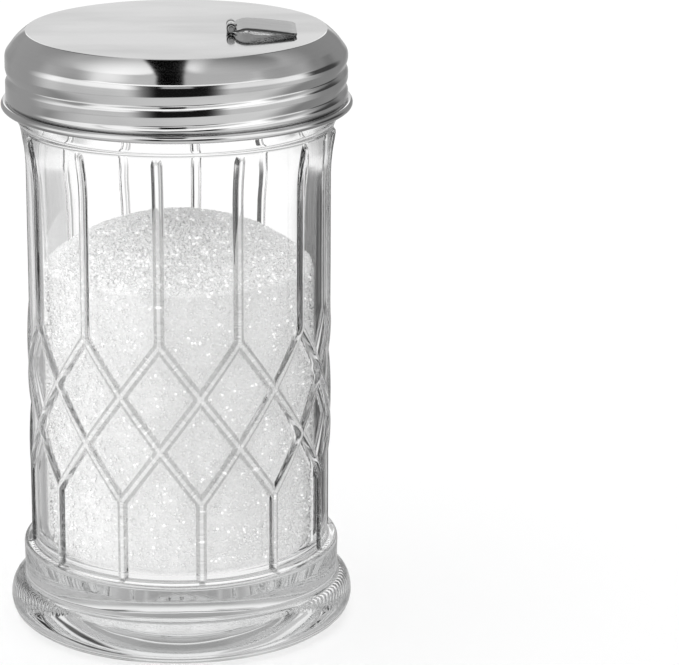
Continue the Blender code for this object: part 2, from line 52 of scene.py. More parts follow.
EYE = Vector((0.0, -0.70063, 0.27313))
EYE_PITCH = math.radians(16.646)
EYE_YAW = math.radians(2.852)
EYE_ROLL = math.radians(0.252)
FOCAL_LENGTH = 177.85
WHITE = (1.0, 1.0, 1.0, 1.0)
FLOOR_GREY = (0.42, 0.42, 0.42, 1.0)
FLOOR_LIFT = 0.50
FLOOR_HALF_SIZE = 6.0
LIGHT_FROM_LEFT = 1.44
LIGHT_FROM_RIGHT = 0.77
LIGHT_FROM_ABOVE = 1.2
ahead = Vector((
    math.sin(EYE_YAW) * math.cos(EYE_PITCH),
    math.cos(EYE_YAW) * math.cos(EYE_PITCH),
    -math.sin(EYE_PITCH),
))
level_right = Vector((math.cos(EYE_YAW), -math.sin(EYE_YAW), 0.0))
level_up = level_right.cross(ahead)
eye_right = level_right * math.cos(EYE_ROLL) + level_up * math.sin(EYE_ROLL)
eye_up = level_up * math.cos(EYE_ROLL) - level_right * math.sin(EYE_ROLL)
lens = bpy.data.cameras.new("studio_camera")
lens.sensor_fit = "HORIZONTAL"
lens.sensor_width = 36.0
lens.lens = FOCAL_LENGTH
lens.clip_start = 0.01
camera = bpy.data.objects.new("studio_camera", lens)
camera.matrix_world = Matrix((
    (eye_right.x, eye_up.x, -ahead.x, EYE.x),
    (eye_right.y, eye_up.y, -ahead.y, EYE.y),
    (eye_right.z, eye_up.z, -ahead.z, EYE.z),
    (0.0, 0.0, 0.0, 1.0),
))
scene.collection.objects.link(camera)
scene.camera = camera


def add_node(tree, kind, values=(), **settings):
    """A shader node with its settings, and with fixed values on its sockets."""
    node = tree.nodes.new(kind)
    for name, value in settings.items():
        setattr(node, name, value)
    for socket, value in dict(values).items():
        node.inputs[socket].default_value = value
    return node


def join(tree, value, socket):
    """Feeds a socket with a fixed number or with another node's output."""
    if isinstance(value, (int, float)):
        socket.default_value = value
    else:
        tree.links.new(value, socket)


def arithmetic(tree, operation, first, second=0.0):
    """One step of arithmetic between two outputs or numbers."""
    node = add_node(tree, "ShaderNodeMath", operation=operation)
    join(tree, first, node.inputs[0])
    join(tree, second, node.inputs[1])
    return node.outputs[0]


def ramp(tree, value, outside, inside, low=0.0, high=1.0):
    """A smooth step from low to high as a value goes from outside to inside."""
    limits = {"From Min": outside, "From Max": inside, "To Min": low, "To Max": high}
    node = add_node(tree, "ShaderNodeMapRange", limits, interpolation_type="SMOOTHSTEP")
    tree.links.new(value, node.inputs["Value"])
    return node.outputs["Result"]


def blend_levels(tree, share, low, high):
    """A level between low and high by a share from 0 to 1."""
    node = add_node(tree, "ShaderNodeMix", data_type="FLOAT")
    for socket, value in zip((node.inputs[0], node.inputs[2], node.inputs[3]), (share, low, high)):
        join(tree, value, socket)
    return node.outputs[0]


def lay_panels(tree, level, panels):
    """Lays soft-edged panels over a level, each with its brightness and where its edges fade in."""
    for brightness, edges in panels:
        mask = 1.0
        for value, outside, inside in edges:
            mask = arithmetic(tree, "MULTIPLY", mask, ramp(tree, value, outside, inside))
        level = blend_levels(tree, mask, level, brightness)
    return level


def shown_by_mirrors(tree, x, y, z):
    """How bright the studio is for what shines: sweep, ceiling, softboxes and dark front."""
    wide = arithmetic(tree, "ABSOLUTE", x)
    off_gap = arithmetic(tree, "ABSOLUTE", arithmetic(tree, "ADD", x, 0.058))
    off_front = arithmetic(tree, "ABSOLUTE", arithmetic(tree, "ADD", x, -0.05))
    overhead = arithmetic(tree, "ADD", z, arithmetic(tree, "MULTIPLY", wide, 0.41))
    sloping = ramp(tree, wide, 0.45, 0.85, 0.78, 0.48)
    to_the_right = ramp(tree, x, 0.10, 0.24, 1.0, 0.55)
    to_the_front = ramp(tree, y, 0.40, -0.25, 0.50, 1.45)
    ceiling = arithmetic(tree, "MULTIPLY", to_the_right, to_the_front)
    softbox = ramp(tree, x, -0.5, 0.5, 1.5, 1.3)
    return lay_panels(tree, ramp(tree, x, -0.4, 0.4, 0.40, 0.32), (
        # Over the grey sides: the upper half in front, and the ceiling.
        (sloping, ((z, 0.46, 0.56), (y, 0.60, 0.10))),
        (ceiling, ((overhead, 0.98, 1.03), (z, 0.50, 0.66), (wide, 0.90, 0.50))),
        # The white sweep behind, brighter in two strips, and the dark above it.
        (0.90, ((wide, 0.26, 0.18), (y, 0.0, 0.3), (z, 0.50, 0.40))),
        (1.5, ((wide, 0.11, 0.14), (wide, 0.27, 0.21), (y, 0.5, 0.7), (z, 0.18, 0.24), (z, 0.52, 0.46))),
        (0.08, ((wide, 0.50, 0.36), (y, 0.40, 0.54), (z, 0.46, 0.56))),
        # The black gap in the ceiling, and a light patch behind it.
        (0.0, ((off_gap, 0.135, 0.105), (y, 0.34, 0.20), (z, 0.70, 0.76))),
        (0.95, ((wide, 0.24, 0.14), (y, 0.26, 0.38), (z, 0.56, 0.68))),
        # A softbox on each side, a bright strip high in front, and the pale table.
        (softbox, ((wide, 0.34, 0.58), (y, 0.45, -0.10), (z, -0.30, -0.12), (z, 0.62, 0.40))),
        (1.6, ((wide, 1.0, 0.90), (y, -0.12, -0.30), (z, 0.50, 0.55), (z, 0.78, 0.72))),
        (0.88, ((y, 0.2, -0.3), (z, -0.20, -0.32))),
        # The dark front, with a grey patch in it.
        (0.01, ((off_front, 0.54, 0.26), (y, -0.45, -0.62), (z, -0.44, -0.26), (z, 0.50, 0.42))),
        (0.60, ((wide, 0.20, 0.14), (y, -0.80, -0.90), (z, 0.10, 0.17), (z, 0.44, 0.38))),
        # A grey table behind, and a dark card at the far right.
        (0.50, ((wide, 0.50, 0.20), (y, 0.0, 0.2), (z, 0.04, -0.10))),
        (0.07, ((x, 0.60, 0.80), (y, 0.0, 0.25), (z, -0.20, -0.08), (z, 0.42, 0.28))),
    ))


def shown_through_glass(tree, x, y, z):
    """How bright the studio is behind clear glass: white below, greyer above, and two dark cards behind."""
    behind, level = (y, 0.2, 0.5), (z, 0.0, -0.10)
    return lay_panels(tree, ramp(tree, z, 0.05, 0.22, 1.1, 0.60), (
        (0.44, ((x, -0.30, -0.15), (x, 0.30, 0.15), (z, 0.15, 0.30), (z, 0.75, 0.60))),
        (0.66, ((x, -0.09, -0.14), (x, -0.30, -0.24), behind, level)),
        (0.42, ((x, -0.38, -0.44), (x, -0.90, -0.75), behind, level)),
        (0.85, ((x, 0.12, 0.18), behind, level)),
        (0.04, ((x, 0.17, 0.22), (x, 0.90, 0.70), behind, level)),
        (1.0, ((z, -0.50, -0.62),)),
    ))


studio = bpy.data.worlds.new("studio")
studio.use_nodes = True
scene.world = studio
sky = studio.node_tree
sky.nodes.clear()
heading = add_node(sky, "ShaderNodeTexCoord")
parts = add_node(sky, "ShaderNodeSeparateXYZ")
sky.links.new(heading.outputs["Generated"], parts.inputs[0])
x, y, z = parts.outputs
rays = add_node(sky, "ShaderNodeLightPath")
shown = blend_levels(sky, rays.outputs["Is Glossy Ray"], 1.0, shown_by_mirrors(sky, x, y, z))
shown = blend_levels(sky, rays.outputs["Is Transmission Ray"], shown, shown_through_glass(sky, x, y, z))
lights_things = arithmetic(sky, "GREATER_THAN", rays.outputs["Diffuse Depth"], 0.5)
from_the_sides = ramp(sky, x, -1.0, 1.0, LIGHT_FROM_LEFT, LIGHT_FROM_RIGHT)
light = arithmetic(sky, "MULTIPLY", from_the_sides, ramp(sky, z, 0.1, 0.5, 1.0, LIGHT_FROM_ABOVE))
glow = add_node(sky, "ShaderNodeBackground", {"Color": WHITE})
sky.links.new(blend_levels(sky, lights_things, shown, light), glow.inputs["Strength"])
sky_end = add_node(sky, "ShaderNodeOutputWorld")
sky.links.new(glow.outputs[0], sky_end.inputs["Surface"])

floor_shape = bmesh.new()
bmesh.ops.create_grid(floor_shape, x_segments=1, y_segments=1, size=FLOOR_HALF_SIZE)
floor_mesh = bpy.data.meshes.new("studio_floor")
floor_shape.to_mesh(floor_mesh)
floor_shape.free()
studio_floor = bpy.data.objects.new("studio_floor", floor_mesh)
scene.collection.objects.link(studio_floor)
floor_paint = bpy.data.materials.new("pale_floor")
floor_paint.use_nodes = True
paint = floor_paint.node_tree
paint.nodes.clear()
matt = add_node(paint, "ShaderNodeBsdfDiffuse", {"Color": FLOOR_GREY})
lift = add_node(paint, "ShaderNodeEmission", {"Color": WHITE, "Strength": FLOOR_LIFT})
both = add_node(paint, "ShaderNodeAddShader")
paint_end = add_node(paint, "ShaderNodeOutputMaterial")
paint.links.new(matt.outputs[0], both.inputs[0])
paint.links.new(lift.outputs[0], both.inputs[1])
paint.links.new(both.outputs[0], paint_end.inputs["Surface"])
floor_mesh.materials.append(floor_paint)
studio_floor.visible_glossy = False
studio_floor.visible_transmission = False

# The jar is one piece of clear pressed glass: a heavy round foot, a ledge, a straight body and a threaded
# neck. The mould leaves twelve raised ribs that fork into a lattice of diamonds, and a knurled ring below.
MM = 0.001
FULL_TURN = 2.0 * math.pi
BODY = 32.3
RIM = 129.1
CELLS = 24
CELL_COLUMNS = 24
CELL_WIDTH = FULL_TURN * BODY / CELLS
RIBBED_FROM = 17.4
RIBBED_TO = 111.0
RIB_PHASE = math.radians(-97.5)
RIB_HALF_WIDTH = 1.08
RIB_RISE = 0.7
RIB_SQUARENESS = 0.55
FORK = 70.3
LATTICE_ROW = 11.6
RIB_ROUTE = [
    (0.0, 109.2), (0.0, FORK), (1.0, FORK - LATTICE_ROW), (0.0, FORK - 2 * LATTICE_ROW),
    (1.0, FORK - 3 * LATTICE_ROW), (1.0, 18.75),
]
# Painted shade: the rib flanks darken the glass's colour, standing in for the dark lines that the ribs' sides
# show. These set where that shade starts and fades, and how dark it is.
FLANK_START = 0.22
FLANK_SOFTNESS = 0.25
FLANK_END = 1.14
FLANK_FADE = 0.14
FLANK_PAINTED_SHADE = 0.46
CROWDING = 5.5
CROWDING_WIDTH = 1.4
KNURLED_FROM = 26.6
KNURLED_TO = 31.6
KNURLS = 144
KNURL_RISE = 0.30
KNURL_RADIUS = 29.3
KNURL_HALF_WIDTH = 2.5
OUTSIDE_RADIUS = 31.5
CROWDED_FROM = 11.0
CROWDED_EASE_BELOW = 6.0
CROWDED_EASE_ABOVE = 14.0
THREADED_FROM = 112.0
THREAD_LEAD = 4.2
THREAD_BELOW_RIM = 7.35
THREAD_HALF_HEIGHT = 1.1
THREAD_RISE = 1.4
THREAD_START = -0.55
THREAD_END = 0.70
THREAD_FADE = 0.08
ABSORPTION = 6.0


def round_through(points, steps):
    """A smooth line of points through a few given ones."""
    line = []
    last = len(points) - 1
    for index in range(last):
        before, start = points[max(index - 1, 0)], points[index]
        end, after = points[index + 1], points[min(index + 2, last)]
        for step in range(steps):
            t = step / steps
            line.append(tuple(
                b + (c - a) * t / 2 + (2 * a - 5 * b + 4 * c - d) * t * t / 2
                + (3 * b - a - 3 * c + d) * t ** 3 / 2
                for a, b, c, d in zip(before, start, end, after)
            ))
    return line + [points[last]]


def bow(centre, radii, start, end, steps):
    """Points along an arc, with its angles in degrees."""
    angles = [math.radians(start + (end - start) * step / steps) for step in range(steps + 1)]
    return [(centre[0] + radii[0] * math.cos(a), centre[1] + radii[1] * math.sin(a)) for a in angles]


def turn_on_lathe(outline, sectors, steps):
    """Turns an outline of (radius, height) in millimetres about the upright axis, a sector at a time."""
    form = bmesh.new()
    points = [form.verts.new((radius * MM, 0.0, height * MM)) for radius, height in outline]
    sides = [form.edges.new(pair) for pair in zip(points, points[1:])]
    if outline[0][0] > 0.0:
        sides.append(form.edges.new((points[-1], points[0])))
    bmesh.ops.spin(
        form, geom=points + sides, cent=(0.0, 0.0, 0.0), axis=(0.0, 0.0, 1.0),
        angle=FULL_TURN / sectors, steps=steps, use_merge=False,
    )
    sector = form.verts[:] + form.edges[:] + form.faces[:]
    for place in range(1, sectors):
        copied = bmesh.ops.duplicate(form, geom=sector)["geom"]
        turn = Matrix.Rotation(FULL_TURN * place / sectors, 3, "Z")
        bmesh.ops.rotate(form, verts=[v for v in copied if isinstance(v, bmesh.types.BMVert)], matrix=turn)
    bmesh.ops.remove_doubles(form, verts=form.verts, dist=0.000001)
    bmesh.ops.recalc_face_normals(form, faces=form.faces)
    return form


def smooth_faces(mesh, sharp):
    """Shades a mesh as round, but for the edges that are sharper than this many degrees."""
    mesh.shade_smooth()
    mesh.set_sharp_from_angle(angle=math.radians(sharp))


def stand_mesh(mesh, finish, body):
    """Stands a finished mesh in its place as a piece of the dispenser, riding on its body."""
    mesh.materials.append(finish)
    piece = bpy.data.objects.new(mesh.name, mesh)
    scene.collection.objects.link(piece)
    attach(piece, body)
    return piece


def stand_piece(name, form, finish, body, sharp=30.0):
    """Makes a finished form a piece of the dispenser."""
    mesh = bpy.data.meshes.new(name)
    form.to_mesh(mesh)
    form.free()
    smooth_faces(mesh, sharp)
    return stand_mesh(mesh, finish, body)


def rib_place(height):
    """Where the rib's crest runs across its cell at this height, from 0 to 1."""
    for (start, top), (end, bottom) in zip(RIB_ROUTE, RIB_ROUTE[1:]):
        if height >= bottom:
            return start + (end - start) * (top - height) / (top - bottom) if height < top else start
    return RIB_ROUTE[-1][0]


def column_places(height, hold):
    """The places of a cell's columns at this height: close together along the rib."""
    across = np.linspace(0.0, 1.0, 481)
    away = np.abs(across - rib_place(height)) * CELL_WIDTH / CROWDING_WIDTH
    crowd = 1.0 + CROWDING / (1.0 + away ** 8)
    run = np.concatenate(([0.0], np.cumsum((crowd[1:] + crowd[:-1]) / 2)))
    even = np.linspace(0.0, 1.0, CELL_COLUMNS + 1)
    return even + (np.interp(even, run / run[-1], across) - even) * hold


def rib_distance(across, height):
    """How far these places are from the middle of the nearest rib, in half widths of a rib."""
    nearest = np.full_like(across, 9.0)
    for (start, top), (end, bottom) in zip(RIB_ROUTE, RIB_ROUTE[1:]):
        for mirrored in (across, -across, 2.0 - across):
            px, pz = (mirrored - start) * CELL_WIDTH, height - top
            rx, rz = (end - start) * CELL_WIDTH, bottom - top
            along = np.clip((px * rx + pz * rz) / (rx * rx + rz * rz), 0.0, 1.0)
            nearest = np.minimum(nearest, np.hypot(px - rx * along, pz - rz * along) / RIB_HALF_WIDTH)
    return nearest


def thread_rise(angle, height):
    """The jar's screw thread, right-handed, one turn and a quarter round its finish."""
    rise = 0.0
    for whole in (-1, 0, 1):
        turn = angle / FULL_TURN + whole
        away = abs(height - (RIM - THREAD_BELOW_RIM + THREAD_LEAD * turn)) / THREAD_HALF_HEIGHT
        ends = min((turn - THREAD_START) / THREAD_FADE, (THREAD_END - turn) / THREAD_FADE, 1.0)
        if away < 1.0 and ends > 0.0:
            rise = max(rise, THREAD_RISE * ends * (1.0 - away * away) ** 1.2)
    return rise


underside = [(radius, 2.8 * (1.0 - (radius / 26.5) ** 2)) for radius in (0.0, 8.0, 15.0, 20.0, 23.5)]
underside += [(25.6, 0.16), (26.4, 0.0), (27.0, 0.0)]
underside += [(27.7 + 0.8 * step, 0.0) for step in range(5)] + [(32.6, 0.0)]
foot = round_through([
    (33.4, 0.0), (35.2, 0.62), (36.9, 2.1), (37.62, 4.4), (37.3, 6.9), (36.3, 8.5), (35.1, 9.25),
], 2)
ledge = [(34.72, 9.5), (34.52, 10.1), (34.5, 11.2), (34.55, 14.6)]
ledge += bow((33.5, 16.7), (1.1, 1.1), 0.0, 90.0, 5) + bow((32.9, 18.4), (0.6, 0.6), -90.0, -180.0, 3)
wall_heights = [18.7, 19.2, 20.2, 23.0, 27.0, 31.0, 33.2] + [34.0 + 0.66 * step for step in range(57)]
wall_heights += [71.8, 74.0, 80.0, 88.0, 96.0, 100.5]
wall = [(BODY, height) for height in wall_heights]
flare = round_through([(32.42, 103.0), (32.68, 105.4), (33.05, 107.6), (33.30, 109.2), (33.56, 110.8)], 3)
threaded = [(33.9, 111.6), (34.15, 112.1), (34.2, 112.7)] + [(34.2, 113.4 + 0.7 * step) for step in range(19)]
rim = bow((32.3, RIM - 1.9), (1.9, 1.9), 0.0, 90.0, 4) + bow((30.4, RIM - 1.4), (1.4, 1.4), 90.0, 180.0, 4)
bore = [(29.0, 120.0), (29.0, 113.0), (29.35, 109.6)]
bore += [(29.7, height) for height in (106.0, 80.0, 50.0, 24.0)]
bore += bow((26.2, 20.2), (3.5, 3.5), 0.0, -90.0, 6) + [(13.0, 16.7), (0.0, 16.7)]
jar_outline = underside + foot + ledge + wall + flare + threaded + rim + bore
jar_form = turn_on_lathe(jar_outline, CELLS, CELL_COLUMNS)

# Each outside point keeps how much painted shade its rib flank gets.
painted_flank_layer = jar_form.verts.layers.float.new("rib_flank_painted_shade")
outside = []
for point in jar_form.verts:
    radius = math.hypot(point.co.x, point.co.y) / MM
    height = point.co.z / MM
    if height < 0.05 and KNURLED_FROM < radius < KNURLED_TO:
        ring = 1.0 - min(abs(radius - KNURL_RADIUS) / KNURL_HALF_WIDTH, 1.0) ** 4
        knurl = math.cos(KNURLS * math.atan2(point.co.y, point.co.x))
        point.co.z += KNURL_RISE * MM * ring * (1.0 + knurl) / 2
    elif radius > OUTSIDE_RADIUS and height > CROWDED_FROM:
        outside.append(point)
radii = np.array([math.hypot(point.co.x, point.co.y) / MM for point in outside])
heights = np.array([point.co.z / MM for point in outside])
angles = np.array([math.atan2(point.co.y, point.co.x) for point in outside])
holds = np.clip((heights - CROWDED_FROM) / CROWDED_EASE_BELOW, 0.0, 1.0)
holds *= np.clip((RIM - heights) / CROWDED_EASE_ABOVE, 0.0, 1.0)
turned = ((angles - RIB_PHASE) % FULL_TURN) / FULL_TURN
columns = np.rint(turned * CELLS * CELL_COLUMNS).astype(int)
cells, within = np.divmod(columns % (CELLS * CELL_COLUMNS), CELL_COLUMNS)
mirrored = cells % 2 == 1
rows = {}
across = np.zeros(len(outside))
for index, (height, hold) in enumerate(zip(np.round(heights, 3), np.round(holds, 3))):
    if (height, hold) not in rows:
        rows[height, hold] = column_places(height, hold)
    across[index] = rows[height, hold][CELL_COLUMNS - within[index] if mirrored[index] else within[index]]
angles = RIB_PHASE + (cells + np.where(mirrored, 1.0 - across, across)) * FULL_TURN / CELLS
away = rib_distance(across, heights)
on_wall = (heights > RIBBED_FROM) & (heights < RIBBED_TO)
radii += np.where(on_wall, RIB_RISE * np.clip(1.0 - away * away, 0.0, 1.0) ** RIB_SQUARENESS, 0.0)
painted_flank_shades = np.clip((away - FLANK_START) / FLANK_SOFTNESS, 0.0, 1.0)
painted_flank_shades = np.where(on_wall, painted_flank_shades * np.clip((FLANK_END - away) / FLANK_FADE, 0.0, 1.0), 0.0)
for point, radius, height, angle, flank in zip(outside, radii, heights, angles, painted_flank_shades):
    if height > THREADED_FROM:
        radius += thread_rise(math.remainder(angle, FULL_TURN), height)
    point.co.x = radius * MM * math.cos(angle)
    point.co.y = radius * MM * math.sin(angle)
    point[painted_flank_layer] = flank
bmesh.ops.recalc_face_normals(jar_form, faces=jar_form.faces)


def new_finish(name, **values):
    """A finish for a piece, with the same values all over it, its tree of nodes and its surface."""
    finish = bpy.data.materials.new(name)
    finish.use_nodes = True
    surface = finish.node_tree.nodes["Principled BSDF"]
    for socket, value in values.items():
        surface.inputs[socket.replace("_", " ")].default_value = value
    return finish, finish.node_tree, surface


def pattern(tree, kind, **values):
    """A texture that lies still on its piece."""
    where = add_node(tree, "ShaderNodeTexCoord")
    texture = add_node(tree, kind, values)
    tree.links.new(where.outputs["Object"], texture.inputs["Vector"])
    return texture


def emboss(tree, surface, height, strength, distance):
    """Gives a surface fine relief from a height."""
    relief = add_node(tree, "ShaderNodeBump", {"Strength": strength, "Distance": distance})
    tree.links.new(height, relief.inputs["Height"])
    tree.links.new(relief.outputs["Normal"], surface.inputs["Normal"])


clear_glass, glass, body_glass = new_finish(
    "clear_pressed_glass", Roughness=0.0, IOR=1.5, Transmission_Weight=1.0,
)
# Painted shade: the outer rib flanks darken the glass's colour.
flank = add_node(glass, "ShaderNodeAttribute", attribute_name="rib_flank_painted_shade")
side = add_node(glass, "ShaderNodeNewGeometry")
outer = arithmetic(glass, "SUBTRACT", 1.0, side.outputs["Backfacing"])
outer_painted_flank = arithmetic(glass, "MULTIPLY", flank.outputs["Fac"], outer)
glass.links.new(ramp(glass, outer_painted_flank, 0.0, 1.0, 1.0, FLANK_PAINTED_SHADE), body_glass.inputs["Base Color"])
swell = pattern(glass, "ShaderNodeTexNoise", Scale=95.0, Detail=2.0, Roughness=0.45)
emboss(glass, body_glass, swell.outputs["Fac"], strength=0.05, distance=0.0003)
cast = {"Color": (0.40, 0.41, 0.41, 1.0), "Density": ABSORPTION}
depth = add_node(glass, "ShaderNodeVolumeAbsorption", cast)
glass.links.new(depth.outputs[0], glass.nodes["Material Output"].inputs["Volume"])
jar_piece = stand_piece("pressed_glass_jar", jar_form, clear_glass, "jar", sharp=60.0)
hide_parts("glass_jar")

# The sugar is loose white crystals, up to about half a millimetre each, poured in and heaped a little in
# the middle. The heap is one grainy form, and single crystals lie all over its top and against the glass.
SUGAR_WALL = 28.95
SUGAR_FLOOR = 17.05
SUGAR_PEAK = 91.8
HEAP_FALL = 0.0136
HEAP_REACH = 28.6
GRAIN_STEP = 0.66
TOP_BUMPS = 0.34
SIDE_BUMPS = 0.12
BUMPS_FROM = 20.5
CRYSTAL_COUNT = 15800
CRYSTAL_RADIUS = 29.1
CRYSTALS_FROM = 20.4
CRYSTALS_SPAN = 60.2
CRYSTAL_CORNERS = 8
CRYSTAL_UNEVENNESS = (0.65, 1.1)
CRYSTAL_SUNK = 0.06
# Painted glints: a share of the crystals glow a little, as sparkles.
PAINTED_GLINT_SHARE = 0.05
PAINTED_GLINT_LEVEL = 1.5
SUGAR_IOR = 1.54


def heap_height(radius):
    """The height of the sugar's top this far from the jar's axis."""
    return SUGAR_PEAK - HEAP_FALL * radius * radius


sugar_outline = [(0.0, SUGAR_FLOOR), (10.0, SUGAR_FLOOR), (20.0, SUGAR_FLOOR)]
sugar_outline += bow((26.2, 20.25), (2.75, 3.2), -90.0, 0.0, 8)
sugar_outline += [(SUGAR_WALL, 21.0 + GRAIN_STEP * step) for step in range(88)]
sugar_outline += [(SUGAR_WALL, 79.4), (28.85, 79.95)]
inwards = [HEAP_REACH - GRAIN_STEP * step for step in range(43)]
sugar_outline += [(radius, heap_height(radius)) for radius in inwards] + [(0.0, SUGAR_PEAK)]
sugar_form = turn_on_lathe(sugar_outline, sectors=20, steps=20)
grain_seed = np.random.default_rng(11)
bumps = grain_seed.random(len(sugar_form.verts))
sugar_form.normal_update()
for point, bump in zip(sugar_form.verts, bumps):
    if point.co.z > BUMPS_FROM * MM:
        point.co -= point.normal * MM * (TOP_BUMPS if point.normal.z > 0.5 else SIDE_BUMPS) * float(bump)

white_sugar, grains, body_sugar = new_finish("white_sugar_grain", IOR=SUGAR_IOR)
speck = pattern(grains, "ShaderNodeTexVoronoi", Scale=2100.0)
cloud = pattern(grains, "ShaderNodeTexNoise", Scale=110.0, Detail=4.0, Roughness=0.6)
tint = add_node(grains, "ShaderNodeSeparateColor")
grains.links.new(speck.outputs["Color"], tint.inputs[0])
mottle = ramp(grains, cloud.outputs["Fac"], 0.35, 0.65, -0.05, 0.02)
shade = arithmetic(grains, "ADD", ramp(grains, tint.outputs[0], 0.0, 1.0, 0.90, 0.97), mottle)


def object_place(tree, scale):
    """The place on the piece, stretched or flattened along each axis."""
    where = add_node(tree, "ShaderNodeTexCoord")
    place = add_node(tree, "ShaderNodeVectorMath", {1: scale}, operation="MULTIPLY")
    tree.links.new(where.outputs["Object"], place.inputs[0])
    return place.outputs[0]


def reach_from_axis(tree):
    """How far the place on the piece is from the dispenser's upright axis."""
    reach = add_node(tree, "ShaderNodeVectorMath", operation="LENGTH")
    tree.links.new(object_place(tree, (1.0, 1.0, 0.0)), reach.inputs[0])
    return reach.outputs["Value"]


at_glass = ramp(grains, reach_from_axis(grains), 0.02862, 0.02878)
# Painted shade: dark specks on the sugar against the glass where it is seen aslant, standing in for the dark
# gaps between grains.
grazed = add_node(grains, "ShaderNodeLayerWeight", {"Blend": 0.5})
painted_gap_shade = arithmetic(grains, "MULTIPLY", at_glass, ramp(grains, tint.outputs[2], 0.50, 0.38))
seen_aslant = ramp(grains, grazed.outputs["Facing"], 0.66, 0.86, 0.0, 0.85)
painted_gap_shade = arithmetic(grains, "MULTIPLY", painted_gap_shade, seen_aslant)
# Painted shade: the sugar against the glass is darker than the heap's top.
shade = arithmetic(grains, "MULTIPLY", shade, blend_levels(grains, at_glass, 0.95, 0.84))
shade = arithmetic(grains, "MULTIPLY", shade, arithmetic(grains, "SUBTRACT", 1.0, painted_gap_shade))
grains.links.new(shade, body_sugar.inputs["Base Color"])
emboss(grains, body_sugar, speck.outputs["Distance"], strength=0.6, distance=0.0003)
grains.links.new(ramp(grains, tint.outputs[1], 0.2, 0.9, 0.5, 0.12), body_sugar.inputs["Roughness"])
sugar_piece = stand_piece("sugar_heap", sugar_form, white_sugar, "jar", sharp=180.0)
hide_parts("sugar_fill")


def scatter_crystals(name, places, outward, luck, sizes, proud, tones_with_painted_shade):
    """Lays a small crystal, turned at random, on each place of the sugar, some standing proud."""
    form = bmesh.new()
    bmesh.ops.create_cube(form, size=1.0)
    while len(form.verts) < CRYSTAL_CORNERS * len(places):
        bmesh.ops.duplicate(form, geom=form.verts[:] + form.edges[:] + form.faces[:])
    form.verts.ensure_lookup_table()
    bmesh.ops.delete(form, geom=form.verts[CRYSTAL_CORNERS * len(places):], context="VERTS")
    mesh = bpy.data.meshes.new(name)
    form.to_mesh(mesh)
    form.free()
    spin = luck.normal(size=(len(places), 4))
    w, x, y, z = (spin / np.linalg.norm(spin, axis=1)[:, None]).T
    lean = np.array((
        (1 - 2 * (y * y + z * z), 2 * (x * y - z * w), 2 * (x * z + y * w)),
        (2 * (x * y + z * w), 1 - 2 * (x * x + z * z), 2 * (y * z - x * w)),
        (2 * (x * z - y * w), 2 * (y * z + x * w), 1 - 2 * (x * x + y * y)),
    )).transpose(2, 0, 1)
    size = luck.uniform(*sizes, len(places))[:, None]
    size = size * luck.uniform(*CRYSTAL_UNEVENNESS, (len(places), 3)) * MM
    corners = np.zeros(len(mesh.vertices) * 3)
    mesh.vertices.foreach_get("co", corners)
    corners = corners.reshape(-1, CRYSTAL_CORNERS, 3) * size[:, None, :]
    lifts = (luck.random(len(places)) ** 3 * proud - CRYSTAL_SUNK) * MM
    corners = np.einsum("nij,nkj->nki", lean, corners) + (places + outward * lifts[:, None])[:, None, :]
    mesh.vertices.foreach_set("co", corners.ravel())
    tone_and_light_layer = mesh.attributes.new("crystal_tone_and_painted_light", "FLOAT", "POINT")
    tones_and_painted_light = luck.uniform(*tones_with_painted_shade, len(places))
    tones_and_painted_light[luck.random(len(places)) < PAINTED_GLINT_SHARE] = PAINTED_GLINT_LEVEL
    tone_and_light_layer.data.foreach_set("value", np.repeat(tones_and_painted_light, CRYSTAL_CORNERS))
    stand_mesh(mesh, crystal, "jar")


# Painted glints: the crystals marked as sparkles glow a little through their emission.
crystal, tone_and_painted_glint, body_crystal = new_finish("sugar_crystal", IOR=SUGAR_IOR, Emission_Strength=0.3)
tone_and_glint = add_node(tone_and_painted_glint, "ShaderNodeAttribute", attribute_name="crystal_tone_and_painted_light").outputs["Fac"]
tone_and_painted_glint.links.new(arithmetic(tone_and_painted_glint, "MINIMUM", tone_and_glint, 0.98), body_crystal.inputs["Base Color"])
tone_and_painted_glint.links.new(ramp(tone_and_painted_glint, tone_and_glint, 0.7, 1.0, 0.4, 0.12), body_crystal.inputs["Roughness"])
tone_and_painted_glint.links.new(ramp(tone_and_painted_glint, tone_and_glint, 1.1, 1.3), body_crystal.inputs["Emission Color"])

luck = np.random.default_rng(5)
reach = HEAP_REACH * np.sqrt(luck.random(CRYSTAL_COUNT))
turn = luck.uniform(0.0, FULL_TURN, CRYSTAL_COUNT)
top_places = np.stack((reach * np.cos(turn), reach * np.sin(turn), heap_height(reach)), axis=1) * MM
steep = 2.0 * HEAP_FALL * reach
top_normals = np.stack((steep * np.cos(turn), steep * np.sin(turn), np.ones(CRYSTAL_COUNT)), axis=1)
top_normals /= np.linalg.norm(top_normals, axis=1)[:, None]
scatter_crystals(
    "sugar_crystals_top", top_places, top_normals, luck, sizes=(0.30, 0.58), proud=0.22, tones_with_painted_shade=(0.90, 0.98),
)
turn = luck.uniform(0.0, FULL_TURN, CRYSTAL_COUNT)
height = CRYSTALS_FROM + CRYSTALS_SPAN * luck.random(CRYSTAL_COUNT)
side_normals = np.stack((np.cos(turn), np.sin(turn), np.zeros(CRYSTAL_COUNT)), axis=1)
side_places = np.stack((CRYSTAL_RADIUS * np.cos(turn), CRYSTAL_RADIUS * np.sin(turn), height), axis=1) * MM
# Painted shade: the crystals against the glass get darker tones than those on top.
scatter_crystals(
    "sugar_crystals_side", side_places, side_normals, luck, sizes=(0.24, 0.46), proud=0.0, tones_with_painted_shade=(0.82, 0.92),
)

# The seal is a flat ring of clear silicone rubber, moulded in one piece. It is pressed into the lid and
# rests on the jar's rim, and keeps the sugar dry.
SEAL_INSIDE = 28.35
SEAL_OUTSIDE = 31.65
SEAL_BOTTOM = 129.65
SEAL_TOP = 130.15
SEAL_EDGE = 0.25

